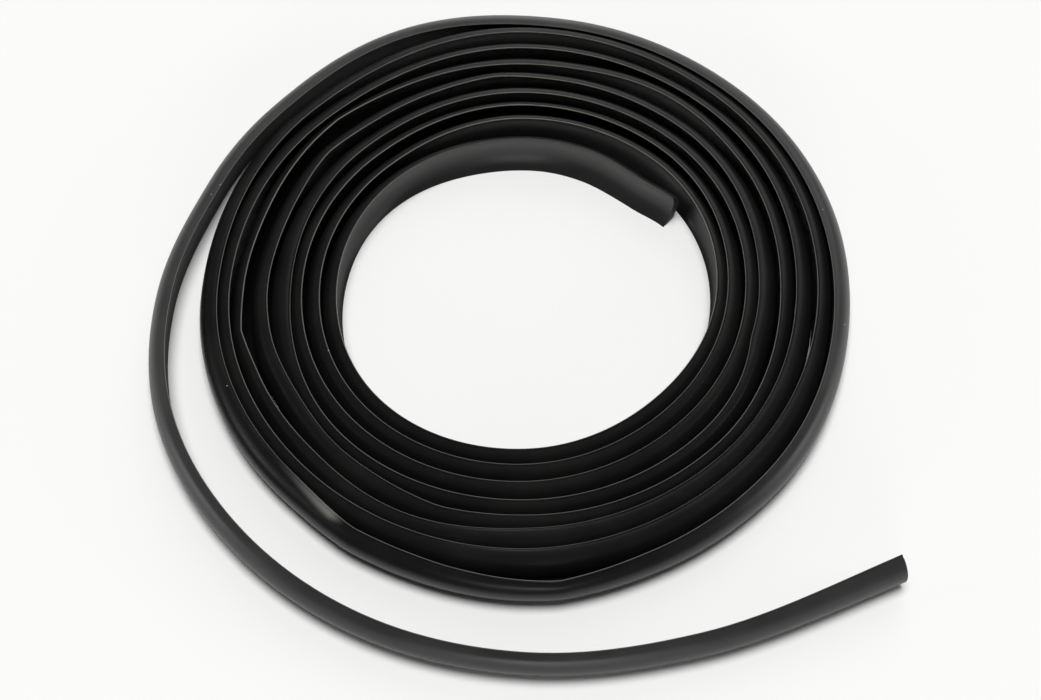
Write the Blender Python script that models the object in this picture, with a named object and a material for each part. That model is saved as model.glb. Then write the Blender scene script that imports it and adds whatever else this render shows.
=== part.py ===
"""Window filler strip: one black rubber strip, wound on edge into a loose flat coil with a free tail.

Lengths are in metres and angles in degrees. The coil lies on the level floor at z = 0, with the middle
of its box at x = y = 0. Angles are counted about the coil's own middle, anticlockwise as seen from
above, from +X, the right of the photo.
"""
import math

import bmesh
import bpy

MM = 0.001

# The strip's section: a C whose rounded face looks out of the coil and whose hollow face looks in.
STRIP_WIDTH = 9.0 * MM
STRIP_DEPTH = 3.7 * MM
WALL = 2.1 * MM
LIP = 0.5 * MM
HOLLOW_STEPS = 4
DOME_STEPS = 6

# Where the strip begins and ends, counted in turns and angles. Its inner end is in turn 0.
START_ANGLE = 35.5
END_TURN = 8
END_ANGLE = 318.9
STATIONS_PER_TURN = 48

# The free space that is always kept between one turn and the next.
TURN_CLEARANCE = 0.25 * MM

# The foot of the strip is pressed flat on the floor by this much of its width.
FOOT_PRESS = 0.25 * MM

# The innermost turn's crest: how far it lies outside BORE_RADIUS at every 45 degrees from 45 to 450.
BORE_RADIUS = 38.0 * MM
INNERMOST = (0.0, 1.1, 1.8, 2.1, 3.4, 2.2, 0.6, 2.4, 5.3, 6.9)

# How far each later turn stands off the one inside it, beyond lying snug against it, in millimetres.
# The places are every 45 degrees from 45 to 360, and the last turn has only those up to where its tail
# has left the coil.
STAND_OFF = {
    1: (3.0, 3.4, 1.4, 1.3, 1.0, 1.2, 1.0, 0.0),
    2: (0.9, 1.5, 1.6, 1.4, 1.5, 1.6, 1.7, 1.4),
    3: (1.2, 1.2, 1.1, 0.0, 1.6, 1.8, 2.4, 0.5),
    4: (1.6, 2.0, 2.1, 2.6, 0.0, 1.1, 1.7, 2.2),
    5: (2.0, 1.6, 2.8, 2.8, 1.8, 0.5, 0.0, 1.0),
    6: (1.5, 2.5, 0.2, 0.5, 1.5, 2.2, 1.6, 2.2),
    7: (1.6, 2.4, 1.6, 0.2, 0.2, 3.8, 2.9, 1.1),
    8: (0.4, 0.0, 2.5, 2.5),
}

# The tail leaves the coil at TAIL_ANGLE of the last turn. Its crest's distance from the coil's middle
# then grows by this much in all at every 22.5 degrees, in millimetres.
TAIL_ANGLE = 135.0
TAIL = (0.0, -0.2, 2.9, 6.8, 9.1, 11.2, 12.9, 15.5, 22.9, 42.0)

# How far the strip leans, in degrees: its crest leans outward where this is above 0. The places are
# back (90), left (180), front (270) and right (360) of the turn that is named.
LEAN = {
    0: (16.0, 4.0, 6.0, 5.0),
    1: (8.0, 3.0, 6.0, 2.0),
    6: (0.0, -2.0, 2.0, -5.0),
    7: (-6.0, -6.0, 16.0, -2.0),
    8: (-18.0, -4.0, 14.0, -11.0),
}

# Stretches that are twisted a little more or less than that: turn, angle, degrees, and how many degrees
# round the coil it takes to die away on each side.
TWISTS = (
    (0, 62.0, 3.0, 24.0),
    (0, 138.0, -5.0, 40.0),
    (7, 230.0, -10.0, 46.0),
    (8, 18.0, -6.0, 50.0),
    (8, 156.0, -4.0, 46.0),
)

# The feet stand more evenly than the crests: this share of the stand-offs of the two turns outside a
# turn, less those of the two inside it, moves its foot. It fades to none on the outermost turn.
FOOT_SHARE = 0.32

# Kinks of the crest and gentler bows of the whole strip that it keeps from how it was packed: turn,
# angle, push outward in millimetres, and how many degrees it takes to die away on each side.
KINKS = (
    (3, 344.0, -0.7, 14.0),
    (4, 97.0, 0.7, 14.0),
    (4, 141.0, 0.7, 14.0),
    (4, 252.0, 0.8, 18.0),
    (5, 133.0, 0.8, 15.0),
    (5, 191.0, 0.9, 10.0),
    (7, 239.0, 1.1, 14.0),
    (7, 275.0, 1.2, 16.0),
)
BOWS = (
    (0, 29.0, 1.6, 20.0),
    (0, 52.0, -0.5, 18.0),
    (4, 162.0, -0.6, 22.0),
    (4, 210.0, -0.6, 18.0),
    (5, 60.0, 1.1, 24.0),
    (5, 162.0, -0.7, 22.0),
    (5, 246.0, 1.2, 26.0),
    (8, 112.0, 1.6, 28.0),
)


def section():
    """The outline of the upright section as (outward, up) pairs: the hollow face going up, the dome down."""
    half = STRIP_WIDTH / 2
    outline = []
    for start, deep, steps, way in ((0.0, STRIP_DEPTH - WALL, HOLLOW_STEPS, 1),
                                    (LIP, STRIP_DEPTH - LIP, DOME_STEPS, -1)):
        radius = (half * half + deep * deep) / (2 * deep)
        opening = 2 * math.atan(deep / half)
        for step in range(steps + 1):
            turn = way * opening * (2 * step / steps - 1)
            outline.append((start + deep - radius + radius * math.cos(turn), half + radius * math.sin(turn)))
    return outline


def standing(outline, lean):
    """The section leant over and pressed flat at its foot, with its inner crest corner at outward = 0."""
    c, s = math.cos(math.radians(lean)), math.sin(math.radians(lean))
    leant = [(out * c + up * s, up * c - out * s) for out, up in outline]
    floor = min(up for out, up in leant) + FOOT_PRESS
    crest = leant[HOLLOW_STEPS][0]
    return [(out - crest, max(up - floor, 0.0)) for out, up in leant]


def outward_at(chain, height):
    """How far out a chain of (outward, up) points is at a height, or None where it doesn't reach."""
    for (out_a, up_a), (out_b, up_b) in zip(chain, chain[1:]):
        if min(up_a, up_b) <= height <= max(up_a, up_b) and up_a != up_b:
            return out_a + (out_b - out_a) * (height - up_a) / (up_b - up_a)
    return None


def snug_pitch(inner, outer):
    """The least step outward from one section to the next that keeps TURN_CLEARANCE between them."""
    dome = inner[HOLLOW_STEPS + 1:]
    hollow = outer[:HOLLOW_STEPS + 1]
    steps = []
    for out, up in dome + hollow:
        reach, room = outward_at(dome, up), outward_at(hollow, up)
        if reach is not None and room is not None:
            steps.append(reach - room)
    return max(steps) + TURN_CLEARANCE


def smooth(values, place):
    """A smooth value at a place among values that stand at 0, 1, 2 and so on."""
    i = min(max(int(place), 0), len(values) - 2)
    t = min(max(place - i, 0.0), 1.0)
    steps = [values[k + 1] - values[k] for k in (max(i - 1, 0), i, min(i + 1, len(values) - 2))]
    slopes = [math.copysign(min(abs(a + b) / 2, 3 * abs(a), 3 * abs(b)), a) if a * b > 0 else 0.0
              for a, b in (steps[:2], steps[1:])]
    return (values[i] * (2 * t ** 3 - 3 * t ** 2 + 1) + slopes[0] * (t ** 3 - 2 * t ** 2 + t)
            + values[i + 1] * (3 * t ** 2 - 2 * t ** 3) + slopes[1] * (t ** 3 - t ** 2))


def stand_off_at(turns):
    """How far the strip stands off the turn inside it at a number of turns from angle 0 of turn 0."""
    gaps = [gap * MM for turn in sorted(STAND_OFF) for gap in STAND_OFF[turn]]
    return max(smooth(gaps, turns * 8 - 9), 0.0)


def kink_at(turns):
    """How far the kinks push the crest outward there, with the foot left in its place."""
    return sum(peak * MM * max(1 - abs(360 * (turns - turn) - angle) / width, 0.0) ** 1.5
               for turn, angle, peak, width in KINKS)


def bell(table, turns):
    """The sum of a table's (turn, angle, peak, width) bells there."""
    return sum(peak * (1 + math.cos(math.pi * min(abs(360 * (turns - turn) - angle) / width, 1.0))) / 2
               for turn, angle, peak, width in table)


def lean_at(turns):
    """The lean there."""
    named = sorted(LEAN)
    quarter = max(turns * 4 - 1, 0.0)
    sides = []
    for side in (int(quarter), int(quarter) + 1):
        turn = side // 4
        low = max(name for name in named if name <= turn)
        high = min(name for name in named + [named[-1] + 1] if name >= min(turn, named[-1]))
        share = (turn - low) / (high - low) if high > low else 0.0
        sides.append(LEAN[low][side % 4] * (1 - share) + LEAN[high][side % 4] * share)
    ease = (1 - math.cos(math.pi * (quarter - int(quarter)))) / 2
    lean = sides[0] * (1 - ease) + sides[1] * ease + bell(TWISTS, turns)
    share = FOOT_SHARE * max(min(turns - 1.125, 2 * (END_TURN - 0.5 - turns), 1.0), 0.0)
    outside = 2 * stand_off_at(turns + 1) + stand_off_at(turns + 2)
    inside = 2 * stand_off_at(turns) + stand_off_at(turns - 1)
    shift = share * (outside - inside) - kink_at(turns)
    return lean - math.degrees(math.asin(shift / STRIP_WIDTH))


def wind():
    """The sections along the strip, each as (angle, crest radius, standing section)."""
    outline = section()
    begin = START_ANGLE / 360
    leaves = END_TURN + TAIL_ANGLE / 360
    end = END_TURN + END_ANGLE / 360
    plain, stations = [], []
    for n in range(math.ceil(end * STATIONS_PER_TURN) - round(begin * STATIONS_PER_TURN) + 1):
        turns = min(begin + n / STATIONS_PER_TURN, end)
        eighth = turns * 8 - 1
        push = kink_at(turns) + bell(BOWS, turns) * MM
        shape = standing(outline, lean_at(turns))
        if eighth <= 8:
            plain.append(BORE_RADIUS + smooth(INNERMOST, eighth) * MM)
            radius = plain[-1] + push
        else:
            inside = begin + n / STATIONS_PER_TURN - turns
            k = n - STATIONS_PER_TURN
            plain_inside = plain[k] + (plain[k - 1] - plain[k]) * inside * STATIONS_PER_TURN
            radius_inside = stations[k][1] + (stations[k - 1][1] - stations[k][1]) * inside * STATIONS_PER_TURN
            if turns <= leaves:
                plain.append(plain_inside + WALL + TURN_CLEARANCE + stand_off_at(turns))
                coil_radius = plain[-1]
            else:
                plain.append(coil_radius + smooth(TAIL, (turns - leaves) * 16) * MM)
            radius = max(plain[-1] + push, radius_inside + snug_pitch(stations[k][2], shape))
        stations.append((math.radians(360 * turns), radius, shape))
    return stations


def build_strip():
    stations = wind()
    points = [(radius * math.cos(angle), radius * math.sin(angle)) for angle, radius, shape in stations]
    places = []
    for i, (angle, radius, shape) in enumerate(stations):
        before, after = points[max(i - 1, 0)], points[min(i + 1, len(points) - 1)]
        along = math.atan2(after[1] - before[1], after[0] - before[0])
        out_x, out_y = math.sin(along), -math.cos(along)
        x, y = points[i]
        places.append([(x + out_x * out, y + out_y * out, up) for out, up in shape])
    # The middle of the whole strip's box in plan becomes x = y = 0.
    middle = [(min(p[k] for ring in places for p in ring) + max(p[k] for ring in places for p in ring)) / 2
              for k in (0, 1)]
    mesh = bpy.data.meshes.new("filler_strip")
    body = bmesh.new()
    rings = [[body.verts.new((x - middle[0], y - middle[1], up)) for x, y, up in ring] for ring in places]
    count = len(rings[0])
    for near, far in zip(rings, rings[1:]):
        for j in range(count):
            k = (j + 1) % count
            body.faces.new((near[j], near[k], far[k], far[j]))
    body.faces.new(rings[0][::-1])
    body.faces.new(rings[-1])
    bmesh.ops.recalc_face_normals(body, faces=body.faces)
    bmesh.ops.triangulate(body, faces=body.faces)
    body.to_mesh(mesh)
    body.free()
    return bpy.data.objects.new("filler_strip", mesh)


def rubber():
    material = bpy.data.materials.new("black_rubber")
    material.use_nodes = True
    shader = material.node_tree.nodes["Principled BSDF"]
    shader.inputs["Base Color"].default_value = (0.018, 0.018, 0.02, 1.0)
    shader.inputs["Roughness"].default_value = 0.55
    shader.inputs["Metallic"].default_value = 0.0
    return material


for old in list(bpy.data.objects):
    bpy.data.objects.remove(old)

strip = build_strip()
strip.data.materials.append(rubber())
bpy.context.scene.collection.objects.link(strip)
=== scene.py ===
"""The looks of a window filler strip: one black rubber strip, wound on edge into a loose flat coil.

Lengths are in metres, given in millimetres where they are small, and angles in degrees. Angles round the
coil are counted about its own middle, anticlockwise from +X as seen from above.
"""

import math

import bpy
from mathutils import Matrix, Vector


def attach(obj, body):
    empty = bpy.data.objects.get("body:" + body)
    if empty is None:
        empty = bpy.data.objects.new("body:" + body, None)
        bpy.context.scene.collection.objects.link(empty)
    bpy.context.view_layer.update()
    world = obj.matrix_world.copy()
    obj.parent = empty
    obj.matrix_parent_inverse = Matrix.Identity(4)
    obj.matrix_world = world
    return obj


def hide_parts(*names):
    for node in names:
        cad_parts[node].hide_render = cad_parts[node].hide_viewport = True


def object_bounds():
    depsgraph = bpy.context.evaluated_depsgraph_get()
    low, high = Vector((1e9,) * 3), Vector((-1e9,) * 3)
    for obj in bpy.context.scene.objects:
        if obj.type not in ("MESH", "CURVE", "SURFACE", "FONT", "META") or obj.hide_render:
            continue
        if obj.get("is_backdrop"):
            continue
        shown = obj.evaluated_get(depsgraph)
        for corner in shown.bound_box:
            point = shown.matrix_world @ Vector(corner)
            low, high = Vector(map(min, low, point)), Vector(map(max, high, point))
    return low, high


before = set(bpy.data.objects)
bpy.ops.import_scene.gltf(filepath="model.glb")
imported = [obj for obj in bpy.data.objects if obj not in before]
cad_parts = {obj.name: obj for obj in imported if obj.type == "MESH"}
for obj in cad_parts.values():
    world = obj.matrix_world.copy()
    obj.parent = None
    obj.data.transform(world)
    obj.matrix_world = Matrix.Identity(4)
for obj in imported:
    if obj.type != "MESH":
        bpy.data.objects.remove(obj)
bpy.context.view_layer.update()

# The filler strip.
# One length of black rubber, extruded through a die that gives it a C-shaped section. It is wound on
# edge, rounded face out, into a loose coil that nothing ties, and its outer end springs away as a tail.
MM = 0.001
STRIP_WIDTH = 9.0 * MM
STRIP_DEPTH = 3.7 * MM
WALL = 2.1 * MM
LIP = 0.5 * MM
TURN_CLEARANCE = 0.25 * MM
FOOT_PRESS = 0.25 * MM

START_ANGLE = 35.5
END_TURN = 8
END_ANGLE = 318.9
STATIONS_PER_TURN = 192

# The innermost turn's crest lies this far outside BORE_RADIUS at every 45 degrees from 45 to 450. Each
# later turn stands off the one inside it by this much more than the plain pitch, at every 45 degrees
# from 45 to 360 of the turn that is named. Both are in millimetres.
BORE_RADIUS = 38.0 * MM
INNERMOST = (0.0, 1.1, 1.8, 2.1, 3.4, 2.2, 0.6, 2.4, 5.3, 6.9)
STAND_OFF = {
    1: (3.0, 3.4, 1.4, 1.3, 1.0, 1.2, 1.0, 0.0),
    2: (0.9, 1.5, 1.6, 1.4, 1.5, 1.6, 1.7, 1.4),
    3: (1.2, 1.2, 1.1, 0.0, 1.6, 1.8, 2.4, 0.5),
    4: (1.6, 2.0, 2.1, 2.6, 0.0, 1.1, 1.7, 2.2),
    5: (2.0, 1.6, 2.8, 2.8, 1.8, 0.5, 0.0, 1.0),
    6: (1.5, 2.5, 0.2, 0.5, 1.5, 2.2, 1.6, 2.2),
    7: (1.6, 2.4, 1.6, 0.2, 0.2, 3.8, 2.9, 1.1),
    8: (0.4, 0.0, 2.5, 2.5),
}

# The tail leaves the coil at TAIL_ANGLE, and its crest's distance from the coil's middle then grows by
# this much in all at every 22.5 degrees, in millimetres.
TAIL_ANGLE = 135.0
TAIL = (0.0, -0.2, 2.9, 6.8, 9.1, 11.2, 12.9, 15.5, 22.9, 42.0)

# How far the crest leans outward at the back, left, front and right of the turn that is named.
LEAN = {
    0: (16.0, 4.0, 6.0, 5.0),
    1: (8.0, 3.0, 6.0, 2.0),
    6: (0.0, -2.0, 2.0, -5.0),
    7: (-6.0, -6.0, 16.0, -2.0),
    8: (-18.0, -4.0, 14.0, -11.0),
}

# Stretches that are twisted a little more or less than that: turn, angle, degrees, and how many degrees
# round the coil it takes to die away on each side.
TWISTS = (
    (0, 62.0, 3.0, 24.0),
    (0, 138.0, -5.0, 40.0),
    (2, 347.0, 2.5, 16.0),
    (4, 188.0, 2.0, 16.0),
    (4, 345.0, 5.0, 28.0),
    (5, 207.0, 3.5, 18.0),
    (5, 347.0, 3.0, 26.0),
    (6, 204.0, 1.5, 18.0),
    (6, 351.0, 6.0, 28.0),
    (7, 230.0, -10.0, 46.0),
    (7, 350.0, 4.5, 28.0),
    (8, 18.0, -6.0, 50.0),
    (8, 156.0, -4.0, 46.0),
)

# The feet stand more evenly than the crests: this share of the stand-offs of the two turns outside a
# turn, less those of the two inside it, moves its foot. It fades to none on the outermost turn.
FOOT_SHARE = 0.32

# Kinks of the crest and gentler bows of the whole strip: turn, angle, push outward in millimetres, and
# how many degrees it takes to die away on each side.
KINKS = (
    (3, 344.0, -0.7, 14.0),
    (4, 97.0, 0.7, 14.0),
    (4, 141.0, 0.7, 14.0),
    (4, 252.0, 0.8, 18.0),
    (5, 133.0, 0.8, 15.0),
    (5, 191.0, 0.9, 10.0),
    (7, 239.0, 1.1, 14.0),
    (7, 275.0, 1.2, 16.0),
)
BOWS = (
    (0, 29.0, 1.6, 20.0),
    (0, 52.0, -0.5, 18.0),
    (4, 162.0, -0.6, 22.0),
    (4, 210.0, -0.6, 18.0),
    (5, 60.0, 1.1, 24.0),
    (5, 162.0, -0.7, 22.0),
    (5, 246.0, 1.2, 26.0),
    (8, 112.0, 1.6, 28.0),
)


def arc(height, bulge, start, steps, way):
    """The (outward, up) points of a shallow arc over a chord of that height.

    They run from the foot up where way is 1, and from the crest down where it is -1.
    """
    half = height / 2
    radius = (half * half + bulge * bulge) / (2 * bulge)
    opening = 2 * math.atan(bulge / half)
    turns = [way * opening * (2 * step / steps - 1) for step in range(steps + 1)]
    return [(start + bulge - radius + radius * math.cos(turn), STRIP_WIDTH / 2 + radius * math.sin(turn))
            for turn in turns]


def hollow_face(steps):
    return arc(STRIP_WIDTH, STRIP_DEPTH - WALL, 0.0, steps, 1)


def rounded_face(steps):
    return arc(STRIP_WIDTH, STRIP_DEPTH - LIP, LIP, steps, -1)


# The coil is wound with a plain section of a few flats.
HOLLOW_STEPS = 4
ROUNDED_STEPS = 6
PLAN_SECTION = hollow_face(HOLLOW_STEPS) + rounded_face(ROUNDED_STEPS)


def leant_place(lean):
    """How far the section's foot corner lies outside its crest corner, and its height, at that lean."""
    c, s = math.cos(math.radians(lean)), math.sin(math.radians(lean))
    lowest = min(up * c - out * s for out, up in PLAN_SECTION)
    return -STRIP_WIDTH * s, -lowest - FOOT_PRESS


def standing(lean):
    """The plan section leant over and pressed flat, with its inner crest corner at outward = 0."""
    c, s = math.cos(math.radians(lean)), math.sin(math.radians(lean))
    shift, rise = leant_place(lean)
    return [(out * c + up * s + shift, max(up * c - out * s + rise, 0.0)) for out, up in PLAN_SECTION]


def outward_at(chain, height):
    for (out_a, up_a), (out_b, up_b) in zip(chain, chain[1:]):
        if min(up_a, up_b) <= height <= max(up_a, up_b) and up_a != up_b:
            return out_a + (out_b - out_a) * (height - up_a) / (up_b - up_a)
    return None


def snug_pitch(inner, outer):
    """The least step outward from one turn to the next that keeps TURN_CLEARANCE between them."""
    dome = inner[HOLLOW_STEPS + 1:]
    hollow = outer[:HOLLOW_STEPS + 1]
    steps = []
    for out, up in dome + hollow:
        reach, room = outward_at(dome, up), outward_at(hollow, up)
        if reach is not None and room is not None:
            steps.append(reach - room)
    return max(steps) + TURN_CLEARANCE


def smooth(values, place):
    """A smooth value at a place among values that stand at 0, 1, 2 and so on."""
    i = min(max(int(place), 0), len(values) - 2)
    t = min(max(place - i, 0.0), 1.0)
    steps = [values[k + 1] - values[k] for k in (max(i - 1, 0), i, min(i + 1, len(values) - 2))]
    slopes = [math.copysign(min(abs(a + b) / 2, 3 * abs(a), 3 * abs(b)), a) if a * b > 0 else 0.0
              for a, b in (steps[:2], steps[1:])]
    return (values[i] * (2 * t ** 3 - 3 * t ** 2 + 1) + slopes[0] * (t ** 3 - 2 * t ** 2 + t)
            + values[i + 1] * (3 * t ** 2 - 2 * t ** 3) + slopes[1] * (t ** 3 - t ** 2))


def stand_off_at(turns):
    gaps = [gap * MM for turn in sorted(STAND_OFF) for gap in STAND_OFF[turn]]
    return max(smooth(gaps, turns * 8 - 9), 0.0)


def kink_at(turns):
    return sum(peak * MM * max(1 - abs(360 * (turns - turn) - angle) / width, 0.0) ** 1.5
               for turn, angle, peak, width in KINKS)


def bell(table, turns):
    return sum(peak * (1 + math.cos(math.pi * min(abs(360 * (turns - turn) - angle) / width, 1.0))) / 2
               for turn, angle, peak, width in table)


def lean_at(turns):
    named = sorted(LEAN)
    quarter = max(turns * 4 - 1, 0.0)
    sides = []
    for side in (int(quarter), int(quarter) + 1):
        turn = side // 4
        low = max(name for name in named if name <= turn)
        high = min(name for name in named + [named[-1] + 1] if name >= min(turn, named[-1]))
        share = (turn - low) / (high - low) if high > low else 0.0
        sides.append(LEAN[low][side % 4] * (1 - share) + LEAN[high][side % 4] * share)
    ease = (1 - math.cos(math.pi * (quarter - int(quarter)))) / 2
    lean = sides[0] * (1 - ease) + sides[1] * ease + bell(TWISTS, turns)
    share = FOOT_SHARE * max(min(turns - 1.125, 2 * (END_TURN - 0.5 - turns), 1.0), 0.0)
    outside = 2 * stand_off_at(turns + 1) + stand_off_at(turns + 2)
    inside = 2 * stand_off_at(turns) + stand_off_at(turns - 1)
    shift = share * (outside - inside) - kink_at(turns)
    return lean - math.degrees(math.asin(shift / STRIP_WIDTH))


def wind():
    """The places along the strip, each as (turns, crest radius, lean), the inner end first."""
    begin = START_ANGLE / 360
    leaves = END_TURN + TAIL_ANGLE / 360
    end = END_TURN + END_ANGLE / 360
    plain, radii, sections, stations = [], [], [], []
    for n in range(math.ceil(end * STATIONS_PER_TURN) - round(begin * STATIONS_PER_TURN) + 1):
        turns = min(begin + n / STATIONS_PER_TURN, end)
        eighth = turns * 8 - 1
        push = kink_at(turns) + bell(BOWS, turns) * MM
        sections.append(standing(lean_at(turns)))
        if eighth <= 8:
            plain.append(BORE_RADIUS + smooth(INNERMOST, eighth) * MM)
            radii.append(plain[-1] + push)
        else:
            k = n - STATIONS_PER_TURN
            if turns <= leaves:
                plain.append(plain[k] + WALL + TURN_CLEARANCE + stand_off_at(turns))
                coil_radius = plain[-1]
            else:
                plain.append(coil_radius + smooth(TAIL, (turns - leaves) * 16) * MM)
            radii.append(max(plain[-1] + push, radii[k] + snug_pitch(sections[k], sections[-1])))
        stations.append((turns, radii[-1], lean_at(turns)))
    return stations


# The coil's own middle in the row frame, whose middle is that of the whole strip with its tail.
COIL_MIDDLE = Vector((2.237, 4.765, 0)) * MM


def placed_round(turns, radius):
    """The point in the row frame at that many turns round the coil's middle, and that far from it."""
    angle = 2 * math.pi * turns
    return COIL_MIDDLE + Vector((radius * math.cos(angle), radius * math.sin(angle), 0))


stations = wind()
crest = [placed_round(turns, radius) for turns, radius, lean in stations]

# The route follows the section's foot corner: shifted from under the crest by the lean, and at the
# height that would put the section's lowest point FOOT_PRESS below the floor.
route = []
for i, (turns, radius, lean) in enumerate(stations):
    along = (crest[min(i + 1, len(crest) - 1)] - crest[max(i - 1, 0)]).normalized()
    shift, rise = leant_place(lean)
    route.append(crest[i] + Vector((along.y, -along.x, 0)) * shift + Vector((0, 0, rise)))

# The section that is seen is finer, and both its lips are rounded over.
FINE_HOLLOW_STEPS = 10
FINE_ROUNDED_STEPS = 16
LIP_STEPS = 4


def lip_round(start, stop):
    """The points round a lip, between the end of one face and the start of the next."""
    middle = (Vector(start) + Vector(stop)) / 2
    reach = (Vector(stop) - Vector(start)).length / 2
    way = 1 if middle.y > STRIP_WIDTH / 2 else -1
    turns = [math.pi * step / LIP_STEPS for step in range(1, LIP_STEPS)]
    return [(middle.x - way * reach * math.cos(turn), middle.y + way * reach * math.sin(turn))
            for turn in turns]


def cut_short(face):
    """The face ends half a lip's thickness short of the crest and the foot, where the rounding starts."""
    return [(out, min(max(up, LIP / 2), STRIP_WIDTH - LIP / 2)) for out, up in face]


inner = cut_short(hollow_face(FINE_HOLLOW_STEPS))
outer = cut_short(rounded_face(FINE_ROUNDED_STEPS))
outline = inner + lip_round(inner[-1], outer[0]) + outer + lip_round(outer[-1], inner[0])


def drawn_curve(name, points, closed):
    curve = bpy.data.curves.new(name, "CURVE")
    curve.dimensions = "2D" if closed else "3D"
    spline = curve.splines.new("POLY")
    spline.points.add(len(points) - 1)
    spline.use_cyclic_u = closed
    for point, place in zip(spline.points, points):
        point.co = (*place, 1)
    drawn = bpy.data.objects.new(name, curve)
    bpy.context.scene.collection.objects.link(drawn)
    return drawn


section_curve = drawn_curve("section", [(out, up, 0) for out, up in outline], True)
strip = drawn_curve("coiled_strip", route, False)
strip.data.twist_mode = "Z_UP"
strip.data.bevel_mode = "OBJECT"
strip.data.bevel_object = section_curve
strip.data.use_fill_caps = True
for point, (turns, radius, lean) in zip(strip.data.splines[0].points, stations):
    point.tilt = math.radians(lean)
bpy.ops.object.select_all(action="DESELECT")
strip.select_set(True)
bpy.context.view_layer.objects.active = strip
bpy.ops.object.convert(target="MESH")
bpy.data.objects.remove(section_curve)

# The swept mesh has its two end caps first, and then one ring of points for each station.
strip = bpy.context.object
mesh = strip.data
ring = len(outline)
caps = len(mesh.vertices) - ring * len(stations)
run = [0.0]
for before, after in zip(route, route[1:]):
    run.append(run[-1] + (after - before).length)
round_section = [0.0]
for before, after in zip(outline, outline[1:] + outline[:1]):
    round_section.append(round_section[-1] + (Vector(after) - Vector(before)).length)

# Its foot is pressed flat on the floor.
for vertex in mesh.vertices:
    vertex.co.z = max(vertex.co.z, 0.0)

# Its UV map is in metres: u along the strip, and v round the section from the foot, up the hollow face.
# The two cut ends take the second material.
uv_map = mesh.uv_layers[0]
for face in mesh.polygons:
    places = [i - caps for i in face.vertices]
    face.material_index = 1 if max(places) < 0 else 0
    wraps = max(p % ring for p in places) == ring - 1 and min(p % ring for p in places) == 0
    for loop, place in zip(face.loop_indices, places):
        if place < 0:
            continue
        k = place % ring
        uv_map.data[loop].uv = (run[place // ring], round_section[ring if wraps and k == 0 else k])

# The caps are joined to the strip's walls.
bpy.ops.object.mode_set(mode="EDIT")
bpy.ops.mesh.select_all(action="SELECT")
bpy.ops.mesh.remove_doubles(threshold=0.01 * MM)
bpy.ops.mesh.select_all(action="DESELECT")
bpy.ops.object.mode_set(mode="OBJECT")
bpy.ops.object.shade_smooth_by_angle(angle=math.radians(40))

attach(strip, "root")
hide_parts("filler_strip")


class Socket:
    """A shader value that can be worked with as a number."""

    def __init__(self, shader, socket):
        self.shader, self.socket = shader, socket

    def output(self, name):
        return Socket(self.shader, self.socket.node.outputs[name])

    def maths(self, operation, *values):
        return self.shader.node("ShaderNodeMath", {"operation": operation}, dict(enumerate(values)))

    def __add__(self, other):
        return self.maths("ADD", self, other)

    def __radd__(self, other):
        return self.maths("ADD", other, self)

    def __sub__(self, other):
        return self.maths("SUBTRACT", self, other)

    def __rsub__(self, other):
        return self.maths("SUBTRACT", other, self)

    def __mul__(self, other):
        return self.maths("MULTIPLY", self, other)

    def __rmul__(self, other):
        return self.maths("MULTIPLY", other, self)


class Shader:
    """One finish: its material and its nodes."""

    def __init__(self, name):
        self.material = bpy.data.materials.new(name)
        self.material.use_nodes = True
        self.nodes = self.material.node_tree.nodes
        self.links = self.material.node_tree.links
        self.surface = self.nodes["Principled BSDF"]

    def node(self, kind, settings=None, sockets=None, output=0):
        made = self.nodes.new(kind)
        for name, value in (settings or {}).items():
            setattr(made, name, value)
        for name, value in (sockets or {}).items():
            self.feed(made.inputs[name], value)
        return Socket(self, made.outputs[output])

    def feed(self, socket, value):
        if isinstance(value, Socket):
            self.links.new(value.socket, socket)
        else:
            socket.default_value = value

    def step(self, value, start, stop):
        """It rises smoothly from 0 to 1 while the value goes from start to stop."""
        return self.node("ShaderNodeMapRange", {"interpolation_type": "SMOOTHSTEP"},
                         {"Value": value, "From Min": start, "From Max": stop})

    def mix(self, share, first, second):
        """The first colour turns to the second as the share goes from 0 to 1."""
        return self.node("ShaderNodeMix", {"data_type": "RGBA"}, {0: share, 6: first, 7: second}, 2)

    def noise(self, place, scale):
        return self.node("ShaderNodeTexNoise", None, {"Vector": place, "Scale": scale, "Detail": 3.0})

    def drawn_noise(self, place, scales):
        """Noise that is finer one way than another, by its three scales."""
        return self.noise(self.node("ShaderNodeMapping", None, {"Vector": place, "Scale": scales}), 1.0)

    def bump(self, height, distance, **under):
        """Relief that is that high, on top of any Normal that is under it."""
        return self.node("ShaderNodeBump", None,
                         {"Strength": 1.0, "Distance": distance, "Height": height, **under})


def run_at(turn, angle):
    """How far along the strip a place is."""
    return run[round((turn + (angle - START_ANGLE) / 360) * STATIONS_PER_TURN)]


# The rubber is a dull near-black, with faint lines along it from the die and a fine grain. Its inner
# crest corner has a thin pale beige line, partly wear and partly painted highlight, and one stretch of
# rolled-over lip has a painted highlight.
BLACK = (0.0058, 0.0058, 0.0059, 1.0)
BLOOM = (0.0095, 0.0092, 0.0088, 1.0)
# A lighter grey, painted on where open low light falls.
PAINTED_LIGHT_GREY = (0.0450, 0.0455, 0.0445, 1.0)
# A painted reflection of the table.
PAINTED_REFLECTION = (0.0850, 0.0850, 0.0830, 1.0)
# A crest line that is partly wear and partly painted highlight.
WORN_CREST_HIGHLIGHT = (0.200, 0.186, 0.162, 1.0)
# A painted highlight on the rolled lip.
ROLLED_LIP_HIGHLIGHT = (0.135, 0.135, 0.127, 1.0)

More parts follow.
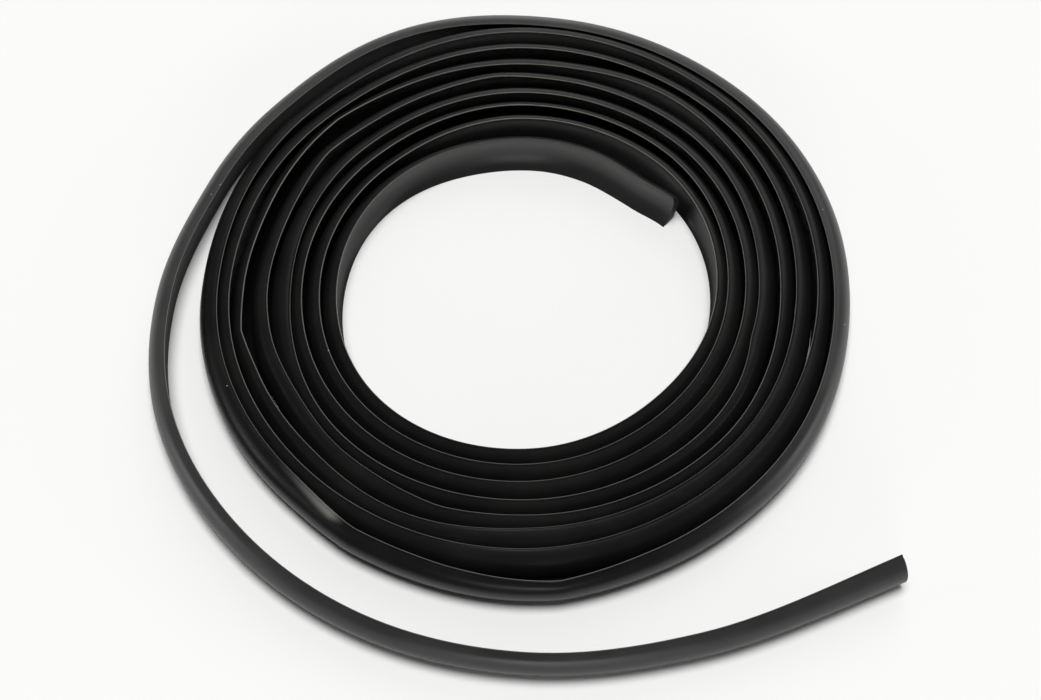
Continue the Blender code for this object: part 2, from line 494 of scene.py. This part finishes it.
rubber = Shader("black_rubber_finish")
surface = rubber.surface
surface.inputs["Metallic"].default_value = 0.0
surface.inputs["Specular IOR Level"].default_value = 0.40
uv_place = rubber.node("ShaderNodeTexCoord", output="UV")
solid_place = uv_place.output("Object")
split = rubber.node("ShaderNodeSeparateXYZ", None, {"Vector": uv_place})
along, around = split, split.output("Y")

die_lines = rubber.drawn_noise(uv_place, (7, 2600, 1))
grain = rubber.noise(solid_place, 2400.0)
bloom = rubber.step(rubber.noise(solid_place, 70.0), 0.40, 0.75)

# The pale crest line, partly wear and partly painted highlight, comes and goes along the strip, and is
# weaker towards the inner end and on the tail.
crest_corner = round_section[len(inner) - 1]
crest_highlight_wander = rubber.drawn_noise(uv_place, (260, 0, 1))
worn_crest_highlight = (rubber.step(around, crest_corner - 0.10 * MM, crest_corner + 0.04 * MM)
        * (1 - rubber.step(around, crest_corner + 0.18 * MM, crest_corner + 0.32 * MM))
        * (0.45 + 0.75 * crest_highlight_wander)
        * (0.30 + 0.70 * rubber.step(along, run_at(0, 100), run_at(0, 190)))
        * (1 - 0.75 * rubber.step(along, run_at(8, 200), run_at(8, 260))))

# The painted highlight on the rolled stretch of lip brightens and widens along it, and stops short at its
# end.
rolled = (rubber.step(along, run_at(7, 219), run_at(7, 236))
          * (1 - rubber.step(along, run_at(7, 234.5), run_at(7, 237.5))))
rolled_lip_highlight = (rolled * rubber.step(around, crest_corner, crest_corner + 0.50 * MM)
         * (1 - rubber.step(around - 0.9 * MM * rolled,
                            crest_corner + 0.40 * MM, crest_corner + 1.90 * MM)))

# Painted light: the outermost turn and the tail get a lighter grey where open low light falls on them,
# weaker along the later part of the tail; inside the loose inner end the hollow face gets a painted
# reflection.
outer_painted_light = (rubber.step(along, run_at(7, 285), run_at(7, 355))
              * (1 - 0.45 * rubber.step(along, run_at(8, 180), run_at(8, 270))))
# Painted reflection: the hollow face near the inner end is painted paler towards its crest.
inner_painted_reflection = ((1 - rubber.step(along, run_at(0, 150), run_at(0, 225)))
              * (1 - rubber.step(around, crest_corner - 0.60 * MM, crest_corner))
              * (0.10 + 0.90 * rubber.step(around, 0.25 * crest_corner, 0.95 * crest_corner)))

colour = rubber.mix(bloom * 0.8, BLACK, BLOOM)
colour = rubber.mix(outer_painted_light * (0.75 + 0.25 * bloom), colour, PAINTED_LIGHT_GREY)
colour = rubber.mix(inner_painted_reflection, colour, PAINTED_REFLECTION)
colour = rubber.mix(rolled_lip_highlight, colour, ROLLED_LIP_HIGHLIGHT)
colour = rubber.mix(worn_crest_highlight, colour, WORN_CREST_HIGHLIGHT)

# A few specks of pale dust: how far along the strip and round its section each lies, and its radius,
# in millimetres.
DUST = (0.36, 0.35, 0.33, 1.0)
SPECKS = (
    (369, 9.6, 0.20),
    (2442, 10.7, 0.16),
    (2614, 12.4, 0.20),
    (2631, 13.4, 0.14),
    (2634, 14.4, 0.18),
    (2643, 10.6, 0.15),
    (2825, 9.7, 0.22),
    (2828, 10.5, 0.16),
)
dust = 0.0
for far, high, reach in SPECKS:
    away = rubber.node("ShaderNodeVectorMath", {"operation": "DISTANCE"},
                       {0: uv_place, 1: (far * MM, high * MM, 0)}, output=1)
    dust = dust + (1 - rubber.step(away, 0.4 * reach * MM, reach * MM))
rubber.feed(surface.inputs["Base Color"], rubber.mix(dust, colour, DUST))
rubber.feed(surface.inputs["Roughness"], 0.33 + 0.07 * die_lines + 0.06 * bloom + 0.15 * worn_crest_highlight)
grain_bump = rubber.bump(grain, 0.006 * MM)
rubber.feed(surface.inputs["Normal"], rubber.bump(die_lines, 0.005 * MM, Normal=grain_bump))

# The ends are cut square with a knife, which leaves them duller, with fine marks across.
# They are paler towards the top, near the crest corner.
CUT_BLACK = (0.010, 0.010, 0.010, 1.0)
CUT_MARK = (0.024, 0.023, 0.021, 1.0)
PALE_TOP = (0.110, 0.105, 0.095, 1.0)

cut = Shader("cut_rubber_finish")
cut.surface.inputs["Metallic"].default_value = 0.0
cut_place = cut.node("ShaderNodeTexCoord", output="Object")
marks = cut.drawn_noise(cut_place, (400, 400, 3500))
cut_height = cut.node("ShaderNodeSeparateXYZ", None, {"Vector": cut_place}, output="Z")
cut_colour = cut.mix(marks, CUT_BLACK, CUT_MARK)
near_crest = cut.step(cut_height, 8.1 * MM, 8.6 * MM)
cut.feed(cut.surface.inputs["Base Color"], cut.mix(near_crest, cut_colour, PALE_TOP))
cut.feed(cut.surface.inputs["Roughness"], 0.55 + 0.20 * marks)
cut.feed(cut.surface.inputs["Normal"], cut.bump(marks, 0.02 * MM))

strip.data.materials.append(rubber.material)
strip.data.materials.append(cut.material)

# The floor.
# A plain white table that the coil lies on. It isn't part of the object.
FLOOR_SIDE = 6.0
TABLE_WHITE = (0.860, 0.857, 0.848, 1.0)

bpy.ops.object.select_all(action="DESELECT")
bpy.ops.mesh.primitive_plane_add(size=FLOOR_SIDE, location=(0, 0, 0))
floor = bpy.context.object
floor.name = "floor"
table = Shader("white_table")
table.surface.inputs["Base Color"].default_value = TABLE_WHITE
table.surface.inputs["Roughness"].default_value = 0.8
floor.data.materials.append(table.material)
floor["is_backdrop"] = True

# The light.
# A bright studio: a wide soft light overhead that whitens the table and is kept out of the reflections,
# low lights near the horizon on all four sides, a wide one higher up behind, and a dim room elsewhere.
ROOM = (0.97, 0.98, 1.0, 1.0)

scene = bpy.context.scene
world = bpy.data.worlds.new("studio")
world.use_nodes = True
background = world.node_tree.nodes["Background"]
background.inputs["Color"].default_value = ROOM
background.inputs["Strength"].default_value = 0.07
scene.world = world


def soft_light(name, energy, width, elevation, azimuth):
    """A light as wide as that, in degrees; its azimuth counts clockwise from the back."""
    lamp = bpy.data.lights.new(name, "SUN")
    lamp.energy = energy
    lamp.angle = math.radians(width)
    placed = bpy.data.objects.new(name, lamp)
    placed.rotation_euler = (math.radians(90 - elevation), 0, math.radians(180 - azimuth))
    scene.collection.objects.link(placed)
    return placed


soft_light("overhead", 2.93, 30, 89, 0).visible_glossy = False
soft_light("right", 0.7, 28, 4, 95)
soft_light("left", 0.6, 26, 4, -95)
soft_light("front", 1.0, 26, 3, 180)
soft_light("back", 0.45, 46, 36, 15)
soft_light("far", 0.2, 22, 5, 0)
scene.view_settings.view_transform = "Standard"

# The camera.
# It looks down on the coil from the front, as the photograph does.
CAMERA_AIM = Vector((0.994, -6.40, 0)) * MM
CAMERA_DISTANCE = 446.8 * MM
CAMERA_ELEVATION = 57.5
CAMERA_LENS = 72.62
camera = bpy.data.cameras.new("camera")
camera.lens = CAMERA_LENS
camera.sensor_width = 36.0
camera_place = bpy.data.objects.new("camera", camera)
up = math.radians(CAMERA_ELEVATION)
camera_place.location = CAMERA_AIM + CAMERA_DISTANCE * Vector((0, -math.cos(up), math.sin(up)))
camera_place.rotation_euler = (math.radians(90 - CAMERA_ELEVATION), 0, 0)
scene.collection.objects.link(camera_place)
scene.camera = camera_place

low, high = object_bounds()
